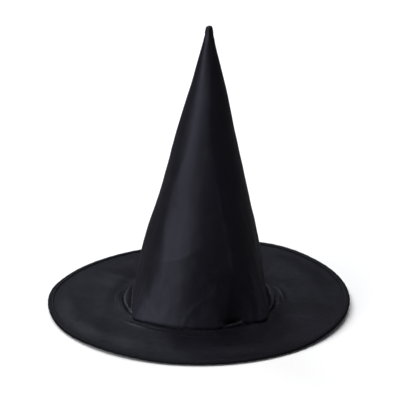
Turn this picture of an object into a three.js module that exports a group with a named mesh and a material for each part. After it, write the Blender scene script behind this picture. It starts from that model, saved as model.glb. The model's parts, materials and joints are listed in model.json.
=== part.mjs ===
// A pointed witch hat: a tall cone of stiffened black cloth sewn to a wide flat brim that is kept
// round by a spring wire in its bound edge.
//
// Millimetres, +Z up. The hat stands on its brim on z = 0, the origin is the middle of the brim's
// underside, -Y is the front and the crown's seam runs up the back, at +Y.
// The crown is one cone of cloth. It bends over at two heights, so each of its layers is made in
// five stretches: three that keep their shape and, between them, two short ones that crease.
import * as THREE from "three";

// The hat's driving dimensions.
const BRIM_RADIUS = 190;
const HEAD_RADIUS = 96; // the crown's outside where it is sewn to the brim, 603 mm round
const HAT_HEIGHT = 361;
const CONE_RADIUS = 88; // half the width that the cone's sides would have on the floor
const CONE_HEIGHT = 362; // where the cone's sides would meet, were its point not blunt
const CONE_BULGE = 3.4; // how far the sides swell out at half height
const POINT_RADIUS = 4; // of the blunt point
const FOOT_HEIGHT = 9; // the cloth comes in this fast from the sewn edge to the cone's sides
const LEAN = 0.0355; // sideways run of the crown per millimetre of height, towards +X
// Over the brim the crown is deeper than it is wide, by this much at the front and at the back, and
// it is round from ROUND_HEIGHT up.
const EXTRA_DEPTH = 10;
const ROUND_HEIGHT = 150;

// Thicknesses. Plies that lie on each other are a small gap apart.
const CLOTH = 0.6;
const CROWN_LINING = 0.7;
const BRIM_STIFFENER = 1.2;
const SEAM_FOLD = 1.0; // the two edges of the crown's cloth, turned in and pressed flat
const THREAD = 0.4;
const GAP = 0.3;

// The brim's plies, counted up from the floor. The binding's lower edge lies on the floor.
const UNDER_CLOTH_Z = CLOTH + GAP;
const STIFFENER_Z = UNDER_CLOTH_Z + CLOTH + GAP;
const TOP_CLOTH_Z = STIFFENER_Z + BRIM_STIFFENER + GAP;
const BRIM_TOP_Z = TOP_CLOTH_Z + CLOTH;
const RIM_HEIGHT = BRIM_TOP_Z + GAP + CLOTH;

// The rim: a bias tape folded round the edges of the brim's plies and round the hoop.
const BINDING_WIDTH = 7.5;
const BEAD_RADIUS = RIM_HEIGHT / 2;
const PLY_EDGE_RADIUS = 185;
const HOOP_RADIUS = 187;
const WIRE_RADIUS = 0.8;
const FERRULE = { length: 14, bore: 1.15, outside: 1.5, azimuth: THREE.MathUtils.degToRad(105) };
const WIRE_END_GAP = 3; // between the wire's two ends, inside the ferrule

// Round the head opening.
const BRIM_HOLE_RADIUS = HEAD_RADIUS + 0.4;
const TAPE_OUTER_RADIUS = HEAD_RADIUS + 10;
const HEAD_STITCH_RADIUS = HEAD_RADIUS + 5;
const SWEATBAND_HEIGHT = 28;

// How far each of the crown's layers lies inside the cloth's outer face.
const LINING_INSET = CLOTH + GAP;
const SEAM_INSET = LINING_INSET + CROWN_LINING + GAP;
const SWEATBAND_INSET = SEAM_INSET + SEAM_FOLD + GAP;

// The crown's stretches, from the brim up, and the number of rings of faces in each.
const STRETCHES = [
  { name: "lower", low: FOOT_HEIGHT, high: 140, rings: 3 },
  { name: "bend", low: 140, high: 180, rings: 1 },
  { name: "middle", low: 180, high: 265, rings: 2 },
  { name: "tip_bend", low: 265, high: 291, rings: 1 },
];
const TIP = { low: 291, liningTop: 340, seamTop: 330, clothTop: 354, rings: 4 };
const TUCK = { low: 343, high: 350 }; // the cut end of the cloth, folded into the point

// Every ring has the same number of facets, so that the layers stay parallel.
const FACETS = 48;
const FACET_SLOPE = Math.tan(Math.PI / FACETS);
const FACET_WIDTH = Math.sin((2 * Math.PI) / FACETS); // of a ring with a radius of 1
const HOOP_FACETS = 96;

const black = (color, roughness, metalness = 0) =>
  new THREE.MeshStandardMaterial({ color, roughness, metalness });
const MATERIALS = {
  crownCloth: black(0x14141b, 0.5),
  brimCloth: black(0x16161d, 0.55),
  lining: black(0x1a1a19, 0.95),
  binding: black(0x0c0c10, 0.6),
  thread: black(0x0e0e12, 0.7),
  steel: black(0x8c8f94, 0.35, 1),
};

// Half the crown's outer width at a height: a cone with a slight swell, a blunt point and a foot
// that spreads to the sewn edge.
function crownRadius(z) {
  const share = z / CONE_HEIGHT;
  const cone = CONE_RADIUS * (1 - share) + CONE_BULGE * Math.sin(Math.PI * share);
  const foot = Math.max(0, 1 - z / FOOT_HEIGHT) * (HEAD_RADIUS - CONE_RADIUS);
  return Math.hypot(cone, POINT_RADIUS) + foot;
}

// How much further the crown reaches to the front and back than to the sides.
function extraDepth(z) {
  const fadeUp = Math.max(0, 1 - z / ROUND_HEIGHT) ** 2;
  const fadeDown = Math.min(1, z / FOOT_HEIGHT);
  return EXTRA_DEPTH * fadeUp * fadeDown;
}

// Evenly spaced heights from low to high.
function levels(low, high, rings) {
  return Array.from({ length: rings + 1 }, (_, i) => low + ((high - low) * i) / rings);
}

// Turns a profile of (radius, height) points round +Z. The profile closes on itself, or starts and
// ends on the axis, and has the solid on its left.
function turned(points) {
  return new THREE.LatheGeometry(points, FACETS).rotateX(Math.PI / 2);
}

// A flat ring with a square edge.
function annulus(inner, outer, low, high) {
  const corners = [
    [inner, low],
    [outer, low],
    [outer, high],
    [inner, high],
    [inner, low],
  ];
  return turned(corners.map(([r, z]) => new THREE.Vector2(r, z)));
}

// Makes a round piece of the crown deeper than it is wide near the brim, and leans it sideways.
function shaped(geometry) {
  const at = geometry.getAttribute("position");
  for (let i = 0; i < at.count; i++) {
    const [x, y, z] = [at.getX(i), at.getY(i), at.getZ(i)];
    const radius = Math.hypot(x, y);
    const stretch = radius > 0 ? 1 + extraDepth(z) / radius : 1;
    at.setXYZ(i, x + LEAN * z, y * stretch, z);
  }
  return geometry;
}

// A ring of the crown's wall, inset from the cloth's outer face.
function crownWall(heights, inset, thickness) {
  const outside = heights.map((z) => new THREE.Vector2(crownRadius(z) - inset, z));
  const inside = heights.map((z) => new THREE.Vector2(crownRadius(z) - inset - thickness, z));
  return shaped(turned([...outside, ...inside.reverse(), outside[0]]));
}

// The crown's cloth at its point: hollow nearly to the top, which is closed and rounded.
function crownPoint() {
  const outer = levels(TIP.low + GAP / 2, HAT_HEIGHT - POINT_RADIUS, TIP.rings);
  const inner = levels(TIP.low + GAP / 2, TIP.clothTop - POINT_RADIUS, TIP.rings);
  const topRadius = crownRadius(HAT_HEIGHT - POINT_RADIUS);
  return shaped(
    turned([
      new THREE.Vector2(0, TIP.clothTop),
      ...inner.reverse().map((z) => new THREE.Vector2(crownRadius(z) - CLOTH, z)),
      ...outer.map((z) => new THREE.Vector2(crownRadius(z), z)),
      new THREE.Vector2(topRadius * 0.75, HAT_HEIGHT - POINT_RADIUS * 0.25),
      new THREE.Vector2(0, HAT_HEIGHT),
    ]),
  );
}

// The cloth's turned-in edges up the back of the crown, as wide as the two rearmost facets.
function seamFold(heights) {
  const section = new THREE.Shape();
  section.moveTo(-1, 0).lineTo(0, 0).lineTo(1, 0).lineTo(1, 1).lineTo(0, 1).lineTo(-1, 1);
  const steps = heights.length - 1;
  const fold = new THREE.ExtrudeGeometry(section, { depth: 1, steps, bevelEnabled: false });
  const at = fold.getAttribute("position");
  for (let i = 0; i < at.count; i++) {
    const z = heights[Math.round(at.getZ(i) * steps)];
    const radius = crownRadius(z) - SEAM_INSET;
    const x = at.getX(i) * radius * FACET_WIDTH;
    const y = radius - SEAM_FOLD * (1 - at.getY(i)) - Math.abs(x) * FACET_SLOPE;
    at.setXYZ(i, x, y, z);
  }
  return shaped(fold);
}

// The folded end of the cloth that fills the point.
function tipTuck() {
  const inset = CLOTH + GAP;
  return shaped(
    turned([
      new THREE.Vector2(0, TUCK.low),
      new THREE.Vector2(crownRadius(TUCK.low) - inset, TUCK.low),
      new THREE.Vector2(crownRadius(TUCK.high) - inset, TUCK.high),
      new THREE.Vector2(0, TUCK.high),
    ]),
  );
}

// The bias tape: two flat edges on the brim's plies, joined by a half-round bead over the hoop.
function edgeBinding() {
  const edge = BRIM_RADIUS - BINDING_WIDTH;
  const centre = BRIM_RADIUS - BEAD_RADIUS;
  const profile = new THREE.Path();
  profile.moveTo(edge, 0);
  profile.lineTo(centre, 0);
  profile.absarc(centre, BEAD_RADIUS, BEAD_RADIUS, -Math.PI / 2, Math.PI / 2, false);
  profile.lineTo(edge, RIM_HEIGHT);
  profile.lineTo(edge, RIM_HEIGHT - CLOTH);
  profile.lineTo(centre, RIM_HEIGHT - CLOTH);
  profile.absarc(centre, BEAD_RADIUS, BEAD_RADIUS - CLOTH, Math.PI / 2, -Math.PI / 2, true);
  profile.lineTo(edge, CLOTH);
  profile.lineTo(edge, 0);
  return turned(profile.getPoints(3));
}

// The line of the hoop's wire, from one side of the ferrule round to the other.
class HoopLine extends THREE.Curve {
  getPoint(t, target = new THREE.Vector3()) {
    const endAngle = WIRE_END_GAP / 2 / HOOP_RADIUS;
    const angle = FERRULE.azimuth + endAngle + t * 2 * (Math.PI - endAngle);
    return target.set(HOOP_RADIUS * Math.cos(angle), HOOP_RADIUS * Math.sin(angle), BEAD_RADIUS);
  }
}

function hoopWire() {
  const section = new THREE.Shape().absarc(0, 0, WIRE_RADIUS, 0, 2 * Math.PI, false);
  return new THREE.ExtrudeGeometry(section, {
    steps: HOOP_FACETS,
    curveSegments: 3,
    extrudePath: new HoopLine(),
  });
}

// The tube that joins the wire's ends, along its own Y axis.
function ferruleTube() {
  const end = FERRULE.length / 2;
  const corners = [
    [FERRULE.bore, -end],
    [FERRULE.outside, -end],
    [FERRULE.outside, end],
    [FERRULE.bore, end],
    [FERRULE.bore, -end],
  ];
  return new THREE.LatheGeometry(corners.map(([r, y]) => new THREE.Vector2(r, y)), 12);
}

// A line of stitches: a thread lying on a cloth, round the hat.
function threadRing(radius, low) {
  return annulus(radius, radius + THREAD, low, low + THREAD);
}

const hat = new THREE.Group();

function add(name, geometry, material, parent = hat) {
  const mesh = new THREE.Mesh(geometry, material);
  mesh.name = name;
  parent.add(mesh);
  return mesh;
}

// The brim.
add(
  "brim_under_cloth",
  annulus(BRIM_HOLE_RADIUS, PLY_EDGE_RADIUS, UNDER_CLOTH_Z, UNDER_CLOTH_Z + CLOTH),
  MATERIALS.brimCloth,
);
add(
  "brim_stiffener",
  annulus(BRIM_HOLE_RADIUS, PLY_EDGE_RADIUS, STIFFENER_Z, STIFFENER_Z + BRIM_STIFFENER),
  MATERIALS.lining,
);
add(
  "brim_top_cloth",
  annulus(BRIM_HOLE_RADIUS, PLY_EDGE_RADIUS, TOP_CLOTH_Z, BRIM_TOP_Z),
  MATERIALS.brimCloth,
);

// The bound edge and the spring hoop in it.
add("edge_binding", edgeBinding(), MATERIALS.binding);
add("edge_binding_thread", threadRing(184, RIM_HEIGHT + GAP), MATERIALS.thread);
add("hoop_wire", hoopWire(), MATERIALS.steel);
const ferrulePlace = new THREE.Group();
ferrulePlace.rotation.z = FERRULE.azimuth;
hat.add(ferrulePlace);
add("hoop_ferrule", ferruleTube(), MATERIALS.steel, ferrulePlace)
  .position.set(HOOP_RADIUS, 0, BEAD_RADIUS);

// The head opening: a tape over the raw edges below, the sweatband within and their stitching.
const sweatbandFace = SWEATBAND_INSET + CLOTH;
add(
  "head_seam_tape",
  annulus(HEAD_RADIUS - sweatbandFace, TAPE_OUTER_RADIUS, 0, CLOTH),
  MATERIALS.binding,
);
add("head_seam_thread", threadRing(HEAD_STITCH_RADIUS, BRIM_TOP_Z + GAP), MATERIALS.thread);
add(
  "sweatband",
  crownWall([UNDER_CLOTH_Z, RIM_HEIGHT, FOOT_HEIGHT, SWEATBAND_HEIGHT], SWEATBAND_INSET, CLOTH),
  MATERIALS.brimCloth,
);
add(
  "sweatband_thread",
  crownWall([UNDER_CLOTH_Z, UNDER_CLOTH_Z + THREAD], sweatbandFace + GAP, THREAD),
  MATERIALS.thread,
);

// The crown, stretch by stretch.
for (const { name, low, high, rings } of STRETCHES) {
  const onBrim = low === FOOT_HEIGHT;
  const heights = levels(onBrim ? low : low + GAP / 2, high - GAP / 2, rings);
  if (onBrim) {
    heights.unshift(UNDER_CLOTH_Z, RIM_HEIGHT);
  }
  add(`crown_cloth_${name}`, crownWall(heights, 0, CLOTH), MATERIALS.crownCloth);
  add(`crown_lining_${name}`, crownWall(heights, LINING_INSET, CROWN_LINING), MATERIALS.lining);
  add(`back_seam_${name}`, seamFold(heights), MATERIALS.lining);
}
const tipFoot = TIP.low + GAP / 2;
add("crown_cloth_tip", crownPoint(), MATERIALS.crownCloth);
add(
  "crown_lining_tip",
  crownWall(levels(tipFoot, TIP.liningTop, TIP.rings), LINING_INSET, CROWN_LINING),
  MATERIALS.lining,
);
add("back_seam_tip", seamFold(levels(tipFoot, TIP.seamTop, TIP.rings)), MATERIALS.lining);
add("tip_tuck", tipTuck(), MATERIALS.crownCloth);

export default hat;
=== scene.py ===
"""The looks of a black cloth witch hat: a stiffened cone sewn to a wide brim with a wired edge.

Metres, in the frame of the CAD model: +Z up, -Y the front, the crown's seam at +Y. Azimuths are
measured from the front, towards +X. Every cloth is a closed thin mesh made from a grid of points:
rows run outwards or upwards, and columns run round the hat.
"""
import json
import math

import bpy
import numpy as np
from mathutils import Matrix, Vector

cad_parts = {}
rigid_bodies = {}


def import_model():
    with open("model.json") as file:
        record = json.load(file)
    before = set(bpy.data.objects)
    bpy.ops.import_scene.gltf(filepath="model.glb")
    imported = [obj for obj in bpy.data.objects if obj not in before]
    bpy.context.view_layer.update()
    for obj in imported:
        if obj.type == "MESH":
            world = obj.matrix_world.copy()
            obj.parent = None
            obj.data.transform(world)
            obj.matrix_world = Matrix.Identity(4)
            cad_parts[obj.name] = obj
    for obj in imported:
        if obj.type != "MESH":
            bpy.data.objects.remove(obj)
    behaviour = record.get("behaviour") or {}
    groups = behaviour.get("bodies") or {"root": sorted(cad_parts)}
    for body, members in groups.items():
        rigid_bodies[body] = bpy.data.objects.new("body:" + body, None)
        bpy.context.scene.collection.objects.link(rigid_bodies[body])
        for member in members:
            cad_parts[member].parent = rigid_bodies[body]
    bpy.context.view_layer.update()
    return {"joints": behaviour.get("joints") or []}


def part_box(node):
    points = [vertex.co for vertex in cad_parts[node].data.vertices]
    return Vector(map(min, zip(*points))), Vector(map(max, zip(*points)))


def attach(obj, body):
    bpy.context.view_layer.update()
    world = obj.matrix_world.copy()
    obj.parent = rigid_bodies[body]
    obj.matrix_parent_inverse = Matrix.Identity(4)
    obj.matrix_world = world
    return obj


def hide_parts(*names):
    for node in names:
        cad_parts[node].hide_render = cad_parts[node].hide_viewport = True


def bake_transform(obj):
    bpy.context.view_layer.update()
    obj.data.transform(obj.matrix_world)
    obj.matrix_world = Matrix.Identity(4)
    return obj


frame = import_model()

MM = 0.001
TAU = 2 * math.pi

# ---------------------------------------------------------------- sizes, read from the frame

JOINTS = {joint["name"]: joint for joint in frame["joints"]}
BRIM_BODY = JOINTS["crown_bend"]["parent"]
TIP_BODY = JOINTS["tip_bend"]["child"]
CROWN_BEND = Vector(JOINTS["crown_bend"]["pos_m"])
LEAN = CROWN_BEND.x / CROWN_BEND.z

BRIM_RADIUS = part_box("edge_binding")[1].x
RIM_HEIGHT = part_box("edge_binding")[1].z
PLY_EDGE_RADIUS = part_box("brim_top_cloth")[1].x
BRIM_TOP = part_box("brim_top_cloth")[1].z
HEAD_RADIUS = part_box("crown_cloth_lower")[1].y
TAPE_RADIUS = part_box("head_seam_tape")[1].x
HEAD_STITCH_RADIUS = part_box("head_seam_thread")[1].x
EDGE_STITCH_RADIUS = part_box("edge_binding_thread")[1].x
HAT_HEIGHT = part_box("crown_cloth_tip")[1].z
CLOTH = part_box("brim_top_cloth")[1].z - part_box("brim_top_cloth")[0].z

# The crown's cone, as in the CAD source.
CONE_RADIUS = 88 * MM
CONE_HEIGHT = 362 * MM
CONE_BULGE = 3.4 * MM
POINT_RADIUS = 4 * MM
EXTRA_DEPTH = 10 * MM
ROUND_HEIGHT = 150 * MM

# The height at which the crown's cloth is split into two meshes, because a mesh can cross only one
# joint.
SPLIT_HEIGHT = 230 * MM
# Half the angle that the back seam's turned edges cover inside the crown, and their mesh's columns.
SEAM_HALF_TURN = math.radians(8.5)
SEAM_COLUMNS = 17


# ---------------------------------------------------------------- small maths


def all_round(columns):
    """Evenly spaced azimuths all round the hat, starting at the back."""
    return np.linspace(-math.pi, math.pi, columns, endpoint=False)


def polar(radius, azimuth):
    """The x and y of a place at a radius and azimuth."""
    return radius * np.sin(azimuth), -radius * np.cos(azimuth)


def radius_and_azimuth(x, y):
    """The radius and azimuth of a place."""
    return np.hypot(x, y), np.arctan2(x, -y)


def stacked(x, y, z):
    """Points from their x, y and z."""
    return np.stack([x, y, z], axis=-1)


def smooth_step(low, high, x):
    """0 below low, 1 above high and a smooth rise between them."""
    t = np.clip((np.asarray(x, float) - low) / (high - low), 0, 1)
    return t * t * (3 - 2 * t)


def hump(x, centre, width):
    """A bell-shaped bump of height 1."""
    return np.exp(-(((x - centre) / width) ** 2))


def turn_between(a, b):
    """The angle from b to a, from -pi to pi."""
    return (a - b + math.pi) % TAU - math.pi


def round_the_hat(azimuth, stops):
    """A smooth value that passes through (degrees, value) stops and joins up behind the hat."""
    degrees, values = (np.array(column, float) for column in zip(*stops))
    step = np.concatenate([degrees[-1:] - 360, degrees, degrees[:2] + 360])
    value = np.concatenate([values[-1:], values, values[:2]])
    at = (np.degrees(azimuth) - degrees[0]) % 360 + degrees[0]
    i = np.clip(np.searchsorted(step, at, side="right") - 1, 0, len(step) - 2)
    t = (at - step[i]) / (step[i + 1] - step[i])
    slope = np.gradient(value, step)
    width = step[i + 1] - step[i]
    start = (2 * t**3 - 3 * t**2 + 1) * value[i] + (t**3 - 2 * t**2 + t) * width * slope[i]
    end = (3 * t**2 - 2 * t**3) * value[i + 1] + (t**3 - t**2) * width * slope[i + 1]
    return start + end


def ripples(points, seed, shortest, longest, along=(1.0, 1.0, 1.0), waves=36):
    """A random smooth field with features between two sizes, about -1 to 1. A small value in along
    stretches the features along that axis."""
    rng = np.random.default_rng(seed)
    total = np.zeros(points.shape[:-1])
    power = 0.0
    for _ in range(waves):
        size = shortest * (longest / shortest) ** rng.random()
        direction = rng.normal(size=3)
        direction *= np.array(along) / np.linalg.norm(direction)
        height = (size / longest) ** 0.7
        total += height * np.sin(points @ direction * TAU / size + rng.uniform(0, TAU))
        power += height**2 / 2
    return total / (1.6 * math.sqrt(power))


def b_spline(controls, steps):
    """Points along a smooth curve that starts and ends at the first and last control points.
    controls is a list of arrays of one shape; the curve's steps come first in the result."""
    ends = [2 * controls[0] - controls[1], *controls, 2 * controls[-1] - controls[-2]]
    spans = len(controls) - 1
    curve = []
    for step in range(steps):
        place = spans * step / (steps - 1)
        i = min(int(place), spans - 1)
        t = place - i
        weights = (
            (1 - t) ** 3 / 6,
            (3 * t**3 - 6 * t**2 + 4) / 6,
            (-3 * t**3 + 3 * t**2 + 3 * t + 1) / 6,
            t**3 / 6,
        )
        curve.append(sum(w * c for w, c in zip(weights, ends[i : i + 4])))
    return np.array(curve)


def surface_normals(grid, wrapped=True):
    """Unit normals of a grid of points, pointing to the side from which rows run up and columns
    run to the right."""
    if wrapped:
        across = np.roll(grid, -1, axis=1) - np.roll(grid, 1, axis=1)
    else:
        across = np.gradient(grid, axis=1)
    normal = np.cross(across, np.gradient(grid, axis=0))
    return normal / np.maximum(np.linalg.norm(normal, axis=2, keepdims=True), 1e-12)


# ---------------------------------------------------------------- mesh making


def add_to_scene(name, data):
    thing = bpy.data.objects.new(name, data)
    bpy.context.scene.collection.objects.link(thing)
    return thing


def make_object(name, points, faces, material, smooth=None):
    mesh = bpy.data.meshes.new(name)
    mesh.from_pydata(np.asarray(points).tolist(), [], faces)
    shade = np.ones(len(faces), bool) if smooth is None else np.asarray(smooth, bool)
    mesh.polygons.foreach_set("use_smooth", shade)
    mesh.materials.append(material)
    return add_to_scene(name, mesh)


def add_field(piece, name, values):
    """Stores a number or a 3-vector per vertex, for the piece's material to read."""
    values = np.asarray(values, np.float32)
    kind, slot = ("FLOAT", "value") if values.ndim == 1 else ("FLOAT_VECTOR", "vector")
    attribute = piece.data.attributes.new(name, kind, "POINT")
    attribute.data.foreach_set(slot, values.ravel())


def grid_faces(rows, columns, first, wrapped, flipped):
    """Quads of a grid whose points are numbered row by row, starting at first."""
    index = first + np.arange(rows * columns).reshape(rows, columns)
    right = np.roll(index, -1, axis=1) if wrapped else index[:, 1:]
    left = index if wrapped else index[:, :-1]
    corners = [left[:-1], right[:-1], right[1:], left[1:]]
    quads = np.stack(corners[::-1] if flipped else corners, axis=-1)
    return quads.reshape(-1, 4)


def edge_strip(outer, inner, wrapped):
    """Quads between a line of outer points and the line of inner points behind it."""
    outer_next = np.roll(outer, -1) if wrapped else outer[1:]
    inner_next = np.roll(inner, -1) if wrapped else inner[1:]
    outer_here = outer if wrapped else outer[:-1]
    inner_here = inner if wrapped else inner[:-1]
    return np.stack([inner_here, inner_next, outer_next, outer_here], axis=-1)


def sheet_quads(outer, inner, wrapped, pole):
    """Quads of a thin sheet's face and back, and those round its edges. outer and inner are the
    numbers of the points of the face and the back."""
    rows, columns = outer.shape
    sides = [
        grid_faces(rows, columns, 0, wrapped, False),
        grid_faces(rows, columns, rows * columns, wrapped, True),
    ]
    edges = [edge_strip(outer[0], inner[0], wrapped)]
    if not pole:
        edges.append(edge_strip(outer[-1], inner[-1], wrapped)[:, ::-1])
    if not wrapped:
        edges.append(edge_strip(outer[:, 0], inner[:, 0], False)[:, ::-1])
        edges.append(edge_strip(outer[:, -1], inner[:, -1], False))
    return np.concatenate(sides), np.concatenate(edges)


def cloth_object(name, face, back, material, wrapped=True, pole=False, fields=None):
    """A closed thin mesh between two grids of points: its face, and its back behind it. With
    pole, the last row of each is closed to a point."""
    rows, columns = face.shape[:2]
    size = rows * columns
    outer = np.arange(size).reshape(rows, columns)
    sides, edges = sheet_quads(outer, outer + size, wrapped, pole)
    faces = [tuple(q) for q in np.concatenate([sides, edges]).tolist()]
    smooth = np.arange(len(faces)) < len(sides)
    points = np.concatenate([face.reshape(-1, 3), back.reshape(-1, 3)])
    if pole:
        tops = [face[-1].mean(axis=0), back[-1].mean(axis=0)]
        points = np.concatenate([points, tops])
        pairs = list(zip(outer[-1].tolist(), np.roll(outer[-1], -1).tolist()))
        faces += [(a, b, 2 * size) for a, b in pairs]
        faces += [(b + size, a + size, 2 * size + 1) for a, b in pairs]
        smooth = np.concatenate([smooth, np.ones(2 * columns, bool)])
    piece = make_object(name, points, faces, material, smooth)
    for field, values in (fields or {}).items():
        flat = values.reshape(size, -1)
        both = np.concatenate([flat, flat] + ([flat[-1:], flat[-1:]] if pole else []))
        add_field(piece, field, both if both.shape[1] == 3 else both[:, 0])
    return piece


def register(piece, node, body):
    """Says which CAD node a rigid piece replaces and the body it rides on."""
    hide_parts(node)
    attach(piece, body)


def closed_lump(name, grid, material):
    """A closed solid from rings of points, with a pole at each end."""
    rows, columns = grid.shape[:2]
    index = np.arange(rows * columns).reshape(rows, columns)
    faces = [tuple(q) for q in grid_faces(rows, columns, 0, True, False).tolist()]
    bottom, top = rows * columns, rows * columns + 1
    after = np.roll(index, -1, axis=1)
    faces += [(b, a, bottom) for a, b in zip(index[0].tolist(), after[0].tolist())]
    faces += [(a, b, top) for a, b in zip(index[-1].tolist(), after[-1].tolist())]
    poles = [grid[0].mean(axis=0), grid[-1].mean(axis=0)]
    return make_object(name, np.concatenate([grid.reshape(-1, 3), poles]), faces, material)


def set_normals(piece, normals, rows, columns):
    """Gives the smooth faces of a cloth_object the normals of the surface that it is part of."""
    mesh = piece.data
    size = rows * columns
    per_vertex = np.zeros((len(mesh.vertices), 3))
    per_vertex[:size] = normals.reshape(-1, 3)
    per_vertex[size : 2 * size] = -normals.reshape(-1, 3)
    if len(mesh.vertices) > 2 * size:
        per_vertex[2 * size :] = [[0, 0, 1], [0, 0, -1]]
    vertex = np.zeros(len(mesh.loops), int)
    mesh.loops.foreach_get("vertex_index", vertex)
    smooth = np.zeros(len(mesh.polygons), bool)
    mesh.polygons.foreach_get("use_smooth", smooth)
    totals = np.zeros(len(mesh.polygons), int)
    mesh.polygons.foreach_get("loop_total", totals)
    flat_normals = np.zeros(len(mesh.polygons) * 3)
    mesh.polygons.foreach_get("normal", flat_normals)
    smooth_loop = np.repeat(smooth, totals)[:, None]
    face_normal = np.repeat(flat_normals.reshape(-1, 3), totals, axis=0)
    mesh.normals_split_custom_set(np.where(smooth_loop, per_vertex[vertex], face_normal).tolist())


# ---------------------------------------------------------------- materials


class Look:
    """A material in the making, with short ways to add nodes to it and join them."""

    def __init__(self, name):
        self.material = bpy.data.materials.new(name)
        self.material.use_nodes = True
        self.nodes = self.material.node_tree.nodes
        self.shader = self.nodes["Principled BSDF"]

    def join(self, output, socket):
        self.material.node_tree.links.new(output, socket)

    def set(self, **values):
        """Sets the shader's own sockets, named with underscores for spaces."""
        for name, value in values.items():
            self.shader.inputs[name.replace("_", " ")].default_value = value

    def feed(self, **outputs):
        """Joins nodes to the shader's sockets, named with underscores for spaces."""
        for name, output in outputs.items():
            self.join(output, self.shader.inputs[name.replace("_", " ")])

    def math(self, kind, a, b=0.0):
        node = self.nodes.new("ShaderNodeMath")
        node.operation = kind
        for socket, value in zip(node.inputs, (a, b)):
            if isinstance(value, (int, float)):
                socket.default_value = value
            else:
                self.join(value, socket)
        return node.outputs[0]

    def join_new(self, kind, output):
        """A new node with its first input joined."""
        node = self.nodes.new(kind)
        self.join(output, node.inputs[0])
        return node

    def scaled(self, vector, scale):
        """A vector times a number, or times a number in each direction."""
        node = self.join_new("ShaderNodeVectorMath", vector)
        node.operation = "MULTIPLY"
        node.inputs[1].default_value = scale if isinstance(scale, tuple) else (scale,) * 3
        return node.outputs[0]

    def split(self, vector):
        return self.join_new("ShaderNodeSeparateXYZ", vector).outputs

    def noise(self, vector, scale, detail=4.0, roughness=0.55):
        """A cloudy value from 0 to 1. scale is in features per metre, in each direction."""
        node = self.nodes.new("ShaderNodeTexNoise")
        node.inputs["Scale"].default_value = 1.0
        node.inputs["Detail"].default_value = detail
        node.inputs["Roughness"].default_value = roughness
        self.join(self.scaled(vector, scale), node.inputs["Vector"])
        return node.outputs["Fac"]

    def mapped(self, value, low, high, start=0.3, end=0.7):
        """The value with its range from start to end stretched to run from low to high."""
        node = self.join_new("ShaderNodeMapRange", value)
        for socket, number in zip(list(node.inputs)[1:5], (start, end, low, high)):
            socket.default_value = number
        return node.outputs[0]

    def field(self, name, output="Vector"):
        """A number or vector that the mesh holds for each vertex."""
        node = self.nodes.new("ShaderNodeAttribute")
        node.attribute_name = name
        return node.outputs[output]

    def place(self):
        return self.nodes.new("ShaderNodeTexCoord").outputs["Object"]

    def blended(self, factor, dark, light):
        node = self.nodes.new("ShaderNodeMix")
        node.data_type = "RGBA"
        self.join(factor, node.inputs["Factor"])
        node.inputs["A"].default_value = (*dark, 1)
        node.inputs["B"].default_value = (*light, 1)
        return node

    def color(self, factor, dark, light):
        """Gives the shader a colour between dark and light."""
        self.feed(Base_Color=self.blended(factor, dark, light).outputs["Result"])

    def bump(self, *heights):
        """Gives the shader a chain of bumps from (height, distance in metres, strength) rows."""
        normal = None
        for height, distance, strength in heights:
            node = self.nodes.new("ShaderNodeBump")
            node.inputs["Distance"].default_value = distance
            node.inputs["Strength"].default_value = strength
            self.join(height, node.inputs["Height"])
            if normal is not None:
                self.join(normal, node.inputs["Normal"])
            normal = node.outputs["Normal"]
        self.feed(Normal=normal)

    def weave(self, vector, pitch):
        """The height of a plain weave: threads that pass over and under each other."""
        along, across, _ = self.split(self.scaled(vector, math.pi / pitch))
        sine_x, sine_y = self.math("SINE", along), self.math("SINE", across)
        over = self.math("MULTIPLY", sine_x, sine_y)
        rounded = self.math("ADD", self.math("ABSOLUTE", sine_x), self.math("ABSOLUTE", sine_y))
        return self.math("ADD", self.math("MULTIPLY", rounded, 0.5), self.math("MULTIPLY", over, 0.5))


COOL_SHEEN = (0.75, 0.75, 1.0)


def cloth_material(
    name, dark, light, roughness, pitch, sheen=0.06, tint=COOL_SHEEN, weave_height=0.06, shine=0.5
):
    """A woven cloth. It reads the fields "weave", its cut's flat coordinates in metres, and
    "worn", how much its ridges have been rubbed."""
    look = Look(name)
    flat = look.field("weave")
    cloud = look.noise(flat, (40, 40, 40), detail=5)
    streak = look.noise(flat, (900, 60, 60), detail=3)
    slub = look.noise(flat, (60, 1100, 60), detail=3)
    fibres = look.math("ADD", streak, slub)
    tone = look.math("ADD", cloud, look.math("MULTIPLY", fibres, 0.5))
    base = look.blended(look.mapped(tone, 0, 1, 0.7, 1.3), dark, light).outputs["Result"]
    rubbed_share = look.math("MULTIPLY", look.field("worn", "Fac"), 0.8)
    rubbed_color = look.blended(rubbed_share, dark, tuple(2.2 * c for c in light))
    look.join(base, rubbed_color.inputs["A"])
    look.feed(Base_Color=rubbed_color.outputs["Result"])
    look.feed(Roughness=look.mapped(fibres, roughness - 0.06, roughness + 0.06, 0.8, 1.2))
    look.set(Specular_IOR_Level=shine, Specular_Tint=(*tint, 1))
    look.set(Sheen_Weight=sheen, Sheen_Roughness=0.4, Sheen_Tint=(*tint, 1))
    threads = look.weave(flat, pitch)
    look.bump((cloud, 0.6 * MM, 0.25), (fibres, 0.06 * MM, 0.3), (threads, weave_height * MM, 0.5))
    return look.material


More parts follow.
